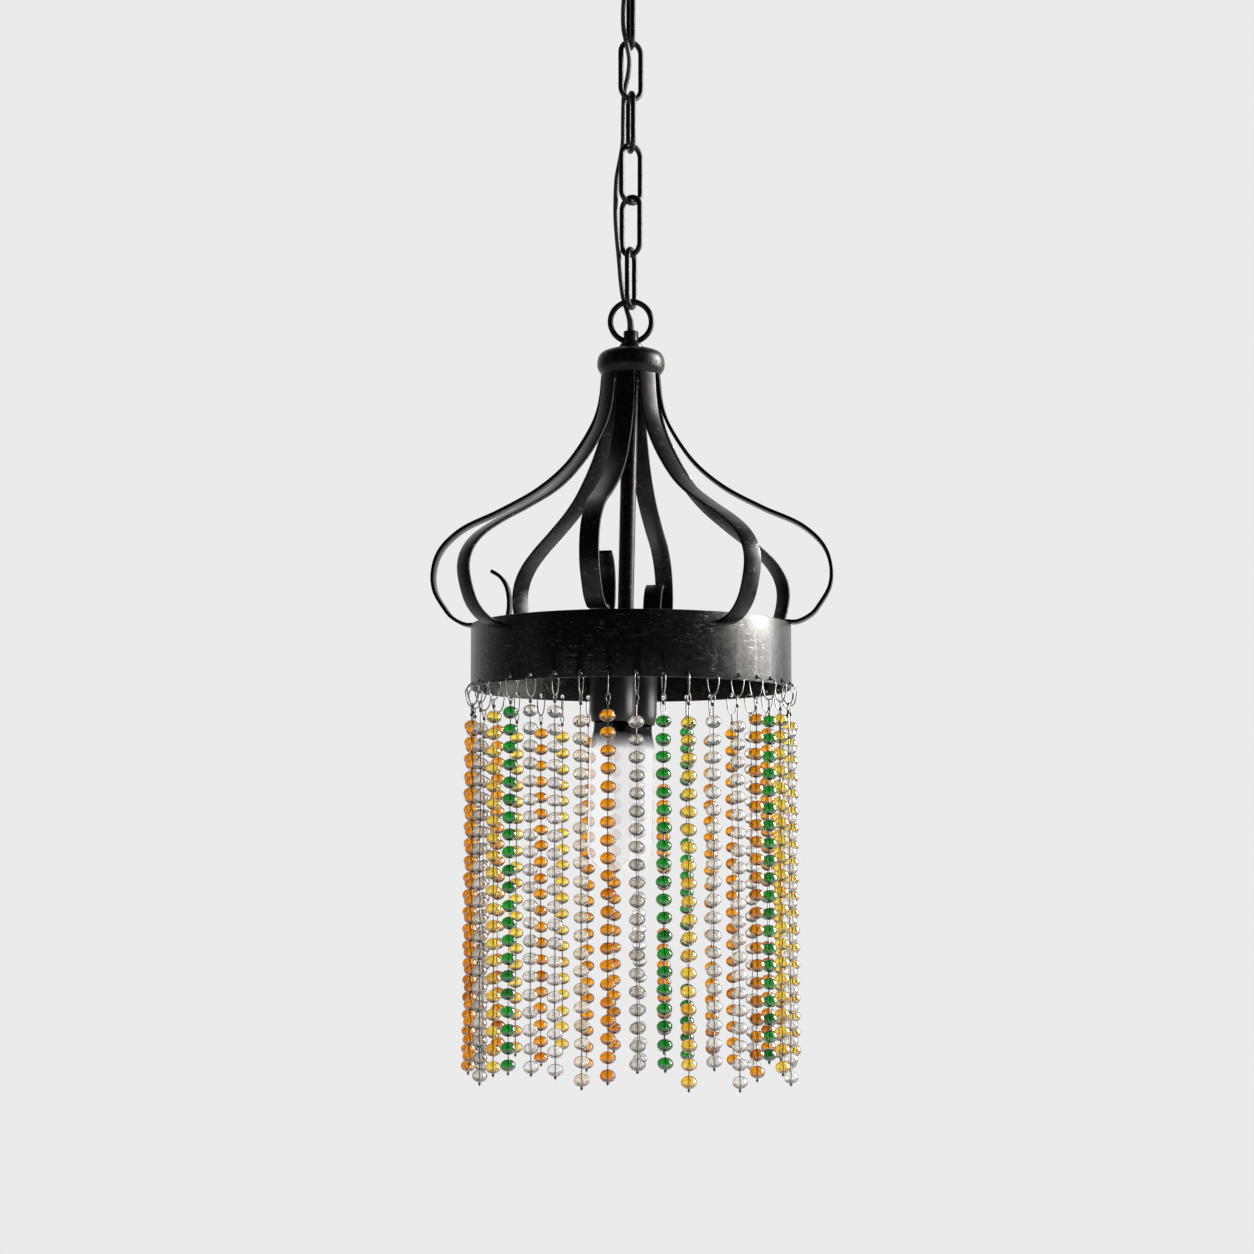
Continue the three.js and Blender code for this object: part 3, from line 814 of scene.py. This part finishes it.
def add_screw_loop(name, body, node, turn, upward):
    """A ring cast on a flared neck; the neck points up at the ceiling and down at the cap."""
    low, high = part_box(node)
    centre = low.z + LOOP_WIDTH / 2 if upward else high.z - LOOP_WIDTH / 2
    foot = -(LOOP_WIDTH / 2 + NECK_SEAT)
    shank = centre - high.z if upward else low.z - centre
    bm = bmesh.new()
    turned(bm, [
        (0, shank), (STEM_RADIUS, shank), (STEM_RADIUS, foot), (NECK_FOOT_RADIUS, foot),
        (NECK_FOOT_RADIUS, foot + NECK_FOOT_HEIGHT * 0.3),
        (NECK_RADIUS, foot + NECK_FOOT_HEIGHT), (NECK_RADIUS, foot + NECK_HEIGHT),
        (0, foot + NECK_HEIGHT),
    ], 40)
    soften(bm, 25, NECK_ROUNDING)
    ring = oval_path(LOOP_WIDTH - LOOP_WIRE, LOOP_WIDTH - LOOP_WIRE, 64)
    sweep(bm, ring, Y_AXIS, round_section(bm, LOOP_WIRE / 2), closed=True)
    flip = Matrix.Rotation(math.pi if upward else 0, 4, "X")
    place = Matrix.Translation((0, 0, centre)) @ Matrix.Rotation(math.radians(turn), 4, "Z")
    bmesh.ops.transform(bm, matrix=place @ flip, verts=bm.verts)
    add_piece(name, bm, [steel], body, "iron", node)


def add_chain():
    """Six welded wire links, each turned against the one above."""
    for i, turn in enumerate(LINK_TURNS):
        node = f"chain_link_{i + 1}"
        low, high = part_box(node)
        bend = LINK_WIDTH - LINK_WIRE
        straight = high.z - low.z - LINK_WIDTH
        bm = bmesh.new()
        path = oval_path(bend, bend, 48, straight)
        sweep(bm, path, Y_AXIS, round_section(bm, LINK_WIRE / 2), closed=True)
        sunk, crest = LINK_WIRE / 2 - WELD_SINK, LINK_WIRE / 2 + WELD_RISE
        weld = turned(bm, [
            (sunk, -WELD_LENGTH / 2), (crest, -WELD_CREST_LENGTH / 2),
            (crest, WELD_CREST_LENGTH / 2), (sunk, WELD_LENGTH / 2),
        ], WIRE_SIDES)
        bmesh.ops.translate(bm, vec=(bend / 2, 0, 0), verts=weld)
        place = Matrix.Translation((0, 0, (low.z + high.z) / 2))
        place = place @ Matrix.Rotation(math.radians(turn), 4, "Z")
        bmesh.ops.transform(bm, matrix=place, verts=bm.verts)
        add_piece(f"link_{i + 1}_wire", bm, [steel], f"link_{i + 1}", "iron", node)


def add_cord():
    """The cord in runs from each link's middle to the next one's, bent at the joint between."""
    path = smooth_path(CORD_ROUTE, CORD_STEPS)
    bodies = ["ceiling", *(f"link_{i + 1}" for i in range(len(LINK_TURNS))), "cage"]
    middles = [
        sum(point.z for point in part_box(f"chain_link_{i + 1}")) / 2 for i in range(len(LINK_TURNS))
    ]
    cuts = [math.inf, *middles, -math.inf]
    for i, (upper, lower) in enumerate(zip(bodies, bodies[1:])):
        foot, top = cuts[i + 1] - CORD_LAP, cuts[i] + CORD_PLAY
        stretch = [point for point in path if foot <= point.z <= top]
        bm = bmesh.new()
        made = sweep(bm, stretch, X_AXIS, round_section(bm, CORD_DIAMETER / 2, CORD_SIDES))
        if lower == "cage":
            add_boot(made, stretch)
        piece = add_mesh(f"cord_run_{i + 1}", bm, [sheath])
        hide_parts("supply_cord")
        joint = joint_between(upper, lower)
        bend = Vector((0, 0, CORD_BEND))
        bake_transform(piece, upper, lower, start=joint + bend, end=joint - bend)


def add_boot(made, stretch):
    """Widens the cord's rings just above the lower loop's neck, as its sleeve does."""
    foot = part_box("hanging_loop")[1].z - LOOP_WIDTH - NECK_SEAT + NECK_HEIGHT
    for k, centre in enumerate(stretch):
        share = 1 - (centre.z - foot) / BOOT_HEIGHT
        swell = 1 + BOOT_SWELL * share if 0 < share < BOOT_END_SHARE else 1
        for vert in made[k * CORD_SIDES:(k + 1) * CORD_SIDES]:
            vert.co = centre + (vert.co - centre) * swell


def joint_between(upper, lower):
    """The place of the hinge between two bodies, as the frame gives it."""
    for joint in frame["joints"]:
        if joint["parent"] == upper and joint["child"] == lower:
            return Vector(joint["pos_m"])


# Cap and cage

def add_cap():
    """The round boss over the strips' tops, with a low seat for the loop's neck."""
    low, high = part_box("cap")
    height = high.z - low.z
    outside = smooth_path([
        (CAP_TOP_RADIUS + wide * (CAP_RADIUS - CAP_TOP_RADIUS), 0, low.z + tall * height)
        for wide, tall in CAP_SHARES
    ] + [(CAP_FOOT_RADIUS, 0, low.z)], 40)
    bm = bmesh.new()
    turned(bm, [
        (CAP_BORE_RADIUS, low.z), (CAP_BORE_RADIUS, high.z), (CAP_SEAT_RADIUS, high.z),
        *((min(place.x, CAP_RADIUS), min(place.z, high.z)) for place in outside),
        (CAP_BORE_RADIUS, low.z),
    ], 96)
    add_piece("cap_boss", bm, [iron], "cage", "iron", "cap")


def add_cap_screw():
    """A small socket screw in the cap's side."""
    bm = bmesh.new()
    turned(bm, CAP_SCREW_OUTLINE, 20)
    soften(bm, 40, CAP_SCREW_ROUNDING)
    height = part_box("cap")[1].z - CAP_SCREW_DROP
    place = outward_place(CAP_SCREW_AZIMUTH, CAP_RADIUS - CAP_SCREW_SINK, height)
    bmesh.ops.transform(bm, matrix=place, verts=bm.verts)
    add_piece("cap_screw", bm, [iron], "cage", "iron")


def strip_path(shares, start, rim):
    """Places on a strip, by shares of the way out to the belly and down to the band's rim."""
    reach, drop = BELLY_RADIUS - STRIP_TOP_RADIUS, start - rim
    return [(STRIP_TOP_RADIUS + out * reach, 0, start - down * drop) for out, down in shares]


def add_strip(i, azimuth):
    """A flat bar of the cage, welded outside the band or crossing its rim into a curl."""
    cap_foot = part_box("cap")[0].z
    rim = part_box("band")[1].z
    cage_height = cap_foot - rim
    if i % 2:
        places = strip_path(WELDED_OUTLINE_SHARES, cap_foot - WELD_GAP, rim)
        places += strip_path(WELDED_END_SHARES, cap_foot, rim)
    else:
        places = strip_path(CROSSING_OUTLINE_SHARES, cap_foot - WELD_GAP, rim)
        seat = rim + STRIP_THICKNESS / 2 + STRIP_SEAT_RISE
        tip = LOW_CURL_SHARES if i + 1 == LOW_CURL_STRIP else CURL_SHARES
        places += [
            (out * BAND_RADIUS, 0, seat + up * cage_height) for out, up in CROSSING_SHARES + tip
        ]
    bm = bmesh.new()
    section = flat_section(bm, STRIP_WIDTH, STRIP_THICKNESS, STRIP_ROUNDING)
    sweep(bm, smooth_path(places, STRIP_STEPS), Y_AXIS, section)
    turn = Matrix.Rotation(math.radians(azimuth - 90), 4, "Z")
    bmesh.ops.transform(bm, matrix=turn, verts=bm.verts)
    add_piece(f"strip_{i + 1}_bar", bm, [iron], "cage", "iron", f"cage_strip_{i + 1}")


def add_band():
    """The drum, with a hole for each strand's hook."""
    low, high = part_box("band")
    inside = BAND_RADIUS - BAND_WALL
    bm = bmesh.new()
    turned(bm, [
        (inside, low.z), (BAND_RADIUS, low.z), (BAND_RADIUS, high.z), (inside, high.z),
        (inside, low.z),
    ], BAND_STEPS)
    soften(bm, 40, BAND_ROUNDING)
    drum = add_piece("band_drum", bm, [band_iron], "cage", "iron", "band")
    cutter = bmesh.new()
    for azimuth in STRAND_AZIMUTHS:
        place = outward_place(azimuth, BAND_RADIUS - BAND_WALL / 2, low.z + HOLE_HEIGHT)
        bmesh.ops.create_cone(
            cutter, cap_ends=True, segments=16, radius1=HOLE_RADIUS, radius2=HOLE_RADIUS,
            depth=4 * BAND_WALL, matrix=place,
        )
    tool = add_mesh("hole_cutter", cutter, [band_iron])
    cut = drum.modifiers.new("holes", "BOOLEAN")
    cut.operation = "DIFFERENCE"
    cut.solver = "EXACT"
    cut.object = tool
    bpy.context.view_layer.update()
    evaluated = drum.evaluated_get(bpy.context.evaluated_depsgraph_get())
    pierced = bpy.data.meshes.new_from_object(evaluated)
    pierced.shade_smooth()
    pierced.set_sharp_from_angle(angle=math.radians(40))
    drum.modifiers.clear()
    drum.data = pierced
    bpy.data.objects.remove(tool)


# Bead strands

def hook_and_eye(bm, lead, dice):
    """The wire ring through the band and the strand's own eye, hanging from it."""
    bend = HOOK_WIDTH - HOOK_WIRE
    ring = oval_path(bend, bend, 32, HOOK_HEIGHT - HOOK_WIDTH)
    for place in ring:
        down = max(HOOK_PINCH_START_SHARE - place.z / HOOK_HEIGHT, 0) / HOOK_PINCH_REACH_SHARE
        place.x *= 1 - HOOK_PINCH_SHARE * min(down, 1)
    made = sweep(bm, ring, Y_AXIS, round_section(bm, HOOK_WIRE / 2, 8), closed=True)
    top = -(HOOK_HEIGHT - HOOK_WIRE) / 2
    twist = Matrix.Rotation(math.radians(90 + dice.uniform(-HOOK_TURN, HOOK_TURN)), 4, "Z")
    bmesh.ops.transform(bm, matrix=twist @ Matrix.Translation((0, 0, top)), verts=made)
    tall = min(EYE_HEIGHT, lead * EYE_LEAD_SHARE)
    eye = oval_path(EYE_WIDTH - STRAND_WIRE, tall - STRAND_WIRE, 20)
    made = sweep(bm, eye, Y_AXIS, round_section(bm, STRAND_WIRE / 2, 8), closed=True)
    foot = -(HOOK_HEIGHT - HOOK_WIRE) + HOOK_WIRE / 2 + STRAND_WIRE
    drop = Matrix.Translation((0, 0, foot - tall / 2))
    twist = Matrix.Rotation(math.radians(dice.uniform(-EYE_TURN, EYE_TURN)), 4, "Z")
    bmesh.ops.transform(bm, matrix=drop @ twist, verts=made)
    return foot - tall + STRAND_WIRE / 2


def crimp_at(bm, place, length, diameter):
    """A squeezed metal sleeve on the wire."""
    mouth = diameter * CRIMP_MOUTH_SHARE
    made = turned(bm, [
        (0, -length / 2), (mouth, -length / 2), (diameter / 2, -length / 4),
        (diameter / 2, length / 4), (mouth, length / 2), (0, length / 2),
    ], 10)
    bmesh.ops.translate(bm, vec=place, verts=made)
    paint(made, 1)


def bead_at(bm, place, depth, dice):
    """One pressed rondelle, never quite the same as the next."""
    tilt = Matrix.Rotation(math.radians(dice.uniform(-BEAD_TILT, BEAD_TILT)), 4, "X")
    tilt = tilt @ Matrix.Rotation(math.radians(dice.uniform(-BEAD_TILT, BEAD_TILT)), 4, "Y")
    wide = BEAD_DIAMETER * dice.uniform(*BEAD_WIDTH_SHARES)
    tall = BEAD_HEIGHT * dice.uniform(*BEAD_HEIGHT_SHARES)
    size = Matrix.Diagonal((wide / 2, wide / 2 * dice.uniform(*BEAD_ROUND_SHARES), tall / 2, 1))
    made = turned(bm, BEAD_SHARES, BEAD_SIDES)
    bore = [vert for vert in made if math.hypot(vert.co.x, vert.co.y) < BEAD_SHARES[1][0] / 2]
    bore_wall = turned(bm, (BEAD_SHARES[-1], BEAD_SHARES[0]), BEAD_SIDES)
    paint(made, 2)
    paint(bore_wall, 3)
    own_depth = bm.verts.layers.float[BEAD_DEPTH]
    for vert in made:
        vert[own_depth] = depth
    bmesh.ops.transform(bm, matrix=Matrix.Translation(place) @ tilt @ size, verts=made + bore_wall)
    bmesh.ops.remove_doubles(bm, verts=bore + bore_wall, dist=1e-6)


def add_strand(i, glass, beads, lead_share):
    """One strand with its hook, made at the front and turned to its own hole."""
    dice = random.Random(STRAND_SEED + i)
    lead = lead_share * BEAD_PITCH
    bm = bmesh.new()
    bm.verts.layers.float.new(BEAD_DEPTH)
    eye_foot = hook_and_eye(bm, lead, dice)
    hook_foot = -(HOOK_HEIGHT - HOOK_WIRE / 2)
    first = hook_foot - lead - BEAD_HEIGHT / 2
    lean = Vector((dice.uniform(-1, 1), dice.uniform(-1, 1), 0)) * STRAND_LEAN
    phase = dice.uniform(0, 2 * math.pi)
    sideways, outwards = STRAND_SWAY_TURNS
    places = []
    for k in range(beads):
        share = k / (beads - 1)
        sway = Vector((
            math.sin(phase + k * sideways), math.cos(phase * STRAND_PHASE_RATIO + k * outwards), 0,
        ))
        offset = lean * share ** STRAND_LEAN_POWER + sway * STRAND_SWAY
        places.append(Vector((0, 0, first - k * BEAD_PITCH)) + offset)
    for k, place in enumerate(places):
        depth = dice.uniform(0, BEAD_DEPTH_CHANCE) + BEAD_DEPTH_GAIN * k / beads
        slip = Vector((0, 0, dice.uniform(-BEAD_PLAY, BEAD_PLAY)))
        bead_at(bm, place + slip, depth, dice)
    foot = places[-1] - Vector((0, 0, BEAD_HEIGHT / 2))
    tail = foot - Vector((0, 0, TAIL_LENGTH))
    top = Vector((0, 0, eye_foot))
    sweep(bm, [top, *places, tail], X_AXIS, round_section(bm, STRAND_WIRE / 2, 6))
    gap = eye_foot - (first + BEAD_HEIGHT / 2)
    if gap > CRIMP_LENGTH * CRIMP_ROOM_SHARE:
        crimp_at(bm, top - Vector((0, 0, CRIMP_LENGTH / 2)), CRIMP_LENGTH, CRIMP_DIAMETER)
    below = foot - Vector((0, 0, END_CRIMP_LENGTH / 2))
    crimp_at(bm, below, END_CRIMP_LENGTH, END_CRIMP_DIAMETER)
    turn = Matrix.Rotation(math.radians(STRAND_AZIMUTHS[i]), 4, "Z")
    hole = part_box("band")[0].z + HOLE_HEIGHT
    hung = Matrix.Translation((0, BAND_WALL / 2 - BAND_RADIUS, hole))
    bmesh.ops.transform(bm, matrix=turn @ hung, verts=bm.verts)
    add_piece(
        f"strand_{i + 1:02d}_beads", bm, [wire, crimp, glasses[glass], bore_wall_glass],
        f"strand_{i + 1:02d}", f"glass_{glass}", f"bead_strand_{i + 1:02d}", sharp_angle=60,
    )


# Stem, lampholders and lamps

def lean_place():
    """The leaning group's place: its top, inside the cap."""
    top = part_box("cap")[1].z - SHANK_LENGTH - LEAN_GAP
    return Matrix.Translation((0, 0, top)) @ Matrix.Rotation(math.radians(STEM_LEAN), 4, "Y")


CROSSBAR_Z = -(STEM_DROP - SHANK_LENGTH)
LIP_Z = CROSSBAR_Z - CROSSBAR_HEIGHT - HOLDER_HEIGHT - HOLDER_LIP_HEIGHT


def holder_place(side):
    """Where a holder's axis meets the crossbar, 1 for the front one and -1 for the rear."""
    return at_azimuth(HOLDER_AZIMUTH, HOLDER_SPACING / 2, 0) * side


def add_stem():
    """The tube from the cap down to the crossbar."""
    bm = bmesh.new()
    foot = CROSSBAR_Z - CROSSBAR_HEIGHT
    turned(bm, [
        (STEM_BORE_RADIUS, foot), (STEM_RADIUS, foot), (STEM_RADIUS, 0), (STEM_BORE_RADIUS, 0),
        (STEM_BORE_RADIUS, foot),
    ], 32)
    soften(bm, 40, STEM_ROUNDING)
    bmesh.ops.transform(bm, matrix=lean_place(), verts=bm.verts)
    add_piece("stem_tube", bm, [iron], "cage", "iron", "stem")


def add_lampholders():
    """Two black cups, open downwards, on one crossbar."""
    bm = bmesh.new()
    bar = bmesh.ops.create_cube(bm, size=1)["verts"]
    bmesh.ops.scale(bm, vec=(CROSSBAR_WIDTH, CROSSBAR_LENGTH, CROSSBAR_HEIGHT), verts=bar)
    bmesh.ops.translate(bm, vec=(0, 0, CROSSBAR_Z - CROSSBAR_HEIGHT / 2), verts=bar)
    bmesh.ops.rotate(
        bm, cent=(0, 0, 0), matrix=Matrix.Rotation(math.radians(HOLDER_AZIMUTH), 3, "Z"), verts=bar,
    )
    soften(bm, 40, CROSSBAR_ROUNDING)
    top = CROSSBAR_Z - CROSSBAR_HEIGHT / 2
    collar = LIP_Z + HOLDER_LIP_HEIGHT
    for side in (1, -1):
        cup = bmesh.new()
        turned(cup, [
            (0, top), (HOLDER_RADIUS - HOLDER_TOP_BEVEL, top),
            (HOLDER_RADIUS, top - HOLDER_TOP_HEIGHT), (HOLDER_RADIUS, collar),
            (HOLDER_LIP_RADIUS, LIP_Z), (HOLDER_BORE_RADIUS, LIP_Z),
            (HOLDER_BORE_RADIUS, LIP_Z + HOLDER_BORE_DEPTH), (0, LIP_Z + HOLDER_BORE_DEPTH),
        ], 64)
        soften(cup, 25, HOLDER_ROUNDING)
        bmesh.ops.translate(cup, vec=holder_place(side), verts=cup.verts)
        loose = bpy.data.meshes.new("cup")
        cup.to_mesh(loose)
        cup.free()
        bm.from_mesh(loose)
        bpy.data.meshes.remove(loose)
    bmesh.ops.transform(bm, matrix=lean_place(), verts=bm.verts)
    add_piece("lampholder_shells", bm, [shell], "cage", "holder", "lampholders")


def add_lamp(node, side):
    """A straight glass tube with a round end, on a metal screw base."""
    bm = bmesh.new()
    shoulder = -LAMP_NECK_HEIGHT - LAMP_SHOULDER_HEIGHT
    outside = [(0, -LAMP_REACH)]
    for step in range(1, LAMP_END_STEPS + 1):
        turn = step * math.pi / (2 * LAMP_END_STEPS)
        rise = LAMP_RADIUS * (1 - math.cos(turn))
        outside.append((LAMP_RADIUS * math.sin(turn), -LAMP_REACH + rise))
    neck = smooth_path([
        (LAMP_RADIUS, 0, shoulder),
        (LAMP_RADIUS - LAMP_SHOULDER_SLOPE, 0, shoulder + LAMP_SHOULDER_BEND),
        (LAMP_NECK_RADIUS + LAMP_NECK_FLARE, 0, -LAMP_NECK_HEIGHT - LAMP_NECK_BEND),
        (LAMP_NECK_RADIUS, 0, -LAMP_NECK_HEIGHT), (LAMP_NECK_RADIUS, 0, LAMP_SINK),
    ], 14)
    outside += [(place.x, place.z) for place in neck]
    lowest = -LAMP_REACH + LAMP_WALL
    inside = [(max(radius - LAMP_WALL, 0), max(height, lowest)) for radius, height in outside]
    inside = [pair for pair in inside if pair[0] > 0 or pair[1] == inside[0][1]]
    turned(bm, outside + inside[::-1], 48)
    base = turned(bm, LAMP_BASE_OUTLINE, 40)
    paint(base, 1)
    place = Matrix.Translation(holder_place(side) + Vector((0, 0, LIP_Z)))
    bmesh.ops.transform(bm, matrix=lean_place() @ place, verts=bm.verts)
    add_piece(f"{node}_bulb", bm, [clear_lamp, base_metal], "cage", "lamp_glass", node)


# Stage and light

FLOOR_Z = -1.5
FLOOR_HALF = 3.5
FLOOR_GLOW = 0.93
BACKDROP = tone(0.83, 0.83, 0.83)
ROOM_LIGHT = tone(0.55, 0.55, 0.55)
# What gloss meets in front, and what glass bends into view from behind and from overhead
ROOM_FRONT = tone(0.022, 0.022, 0.022)
ROOM_BEHIND = tone(1.12, 1.12, 1.12)
ROOM_ABOVE = tone(0.06, 0.06, 0.06)
# Shares of the floor's glow in what glass bends and in gloss
FLOOR_BENT = 0.35
FLOOR_GLOSS = 0.5
# Name, azimuth, distance, height, width, own height and power of each light
LIGHTS = (
    ("side_softbox", 98, 1.7, -0.1, 1.3, 1.6, 95),
    ("side_lamp", 104, 1.8, 0.2, 0.55, 0.55, 50),
    ("front_softbox", 32, 1.9, 0.45, 0.35, 0.35, 0.35),
    ("fill_softbox", -75, 1.9, -0.3, 0.3, 1.4, 0.8),
)


def ray(finish, kind):
    """1 for rays of this kind."""
    return Value(finish, finish.add("ShaderNodeLightPath").outputs[f"Is {kind} Ray"])


def add_floor():
    """A floor that keeps the shadow and glows pale where it is seen or mirrored."""
    finish = new_finish("floor")
    bent = FLOOR_BENT * ray(finish, "Transmission")
    seen = ray(finish, "Camera") + FLOOR_GLOSS * ray(finish, "Glossy") + bent
    plain = finish.add("ShaderNodeBsdfDiffuse", None, {"Color": BACKDROP})
    glow = finish.add("ShaderNodeEmission", None, {"Color": BACKDROP})
    mix = finish.add("ShaderNodeMixShader", None, {
        0: FLOOR_GLOW * finish.span(seen, 0, 1), 1: Value(finish, plain.outputs[0]),
        2: Value(finish, glow.outputs[0]),
    })
    finish.add("ShaderNodeOutputMaterial", None, {"Surface": Value(finish, mix.outputs[0])})
    bm = bmesh.new()
    bmesh.ops.create_grid(bm, x_segments=1, y_segments=1, size=FLOOR_HALF)
    bmesh.ops.translate(bm, vec=(0, 0, FLOOR_Z), verts=bm.verts)
    add_mesh("floor", bm, [finish.owner])


def add_world():
    """A pale room: gloss meets it dim in front, and glass bends it bright but dim overhead."""
    finish = Finish(bpy.data.worlds.new("studio"))
    direction = finish.add("ShaderNodeTexCoord").outputs["Generated"]
    axes = finish.add("ShaderNodeSeparateXYZ", None, {0: Value(finish, direction)})
    behind = finish.span(Value(finish, axes.outputs["Y"]), 0, 0.9)
    above = finish.span(Value(finish, axes.outputs["Z"]), 0.1, 0.36)
    gloss = finish.blend(behind, ROOM_FRONT, BACKDROP)
    lit = finish.blend(ray(finish, "Glossy"), ROOM_LIGHT, gloss)
    bent = finish.blend(above, ROOM_BEHIND, ROOM_ABOVE)
    lit = finish.blend(ray(finish, "Transmission"), lit, bent)
    colour = finish.blend(ray(finish, "Camera"), lit, BACKDROP)
    shader = finish.add("ShaderNodeBackground", None, {"Color": colour, "Strength": 1.0})
    finish.add("ShaderNodeOutputWorld", None, {"Surface": Value(finish, shader.outputs[0])})
    bpy.context.scene.world = finish.owner


def add_light(name, place, aim, width, height, power):
    """A softbox that neither the camera nor the glass shows."""
    data = bpy.data.lights.new(name, "AREA")
    data.shape = "RECTANGLE"
    data.size = width
    data.size_y = height
    data.energy = power
    light = bpy.data.objects.new(name, data)
    light.location = place
    light.rotation_euler = (Vector(aim) - Vector(place)).to_track_quat("-Z", "Y").to_euler()
    light.visible_camera = False
    light.visible_transmission = False
    bpy.context.scene.collection.objects.link(light)


# Build

add_canopy()
add_screw_loop("ceiling_screw_loop", "ceiling", "ceiling_loop", CEILING_LOOP_TURN, upward=True)
add_chain()
add_cord()
add_screw_loop("cage_screw_loop", "cage", "hanging_loop", CAGE_LOOP_TURN, upward=False)
add_cap()
add_cap_screw()
for strip, strip_azimuth in enumerate(STRIP_AZIMUTHS):
    add_strip(strip, strip_azimuth)
add_band()
for strand, (glass, beads, lead_share) in enumerate(STRAND_PLAN):
    add_strand(strand, glass, beads, lead_share)
add_stem()
add_lampholders()
add_lamp("lamp_front", 1)
add_lamp("lamp_rear", -1)

add_floor()
add_world()
middle = (0, 0, (cad_box[0].z + cad_box[1].z) / 2)
for name, azimuth, distance, height, wide, tall, power in LIGHTS:
    add_light(name, at_azimuth(azimuth, distance, height), middle, wide, tall, power)
bpy.context.scene.view_settings.view_transform = "Standard"
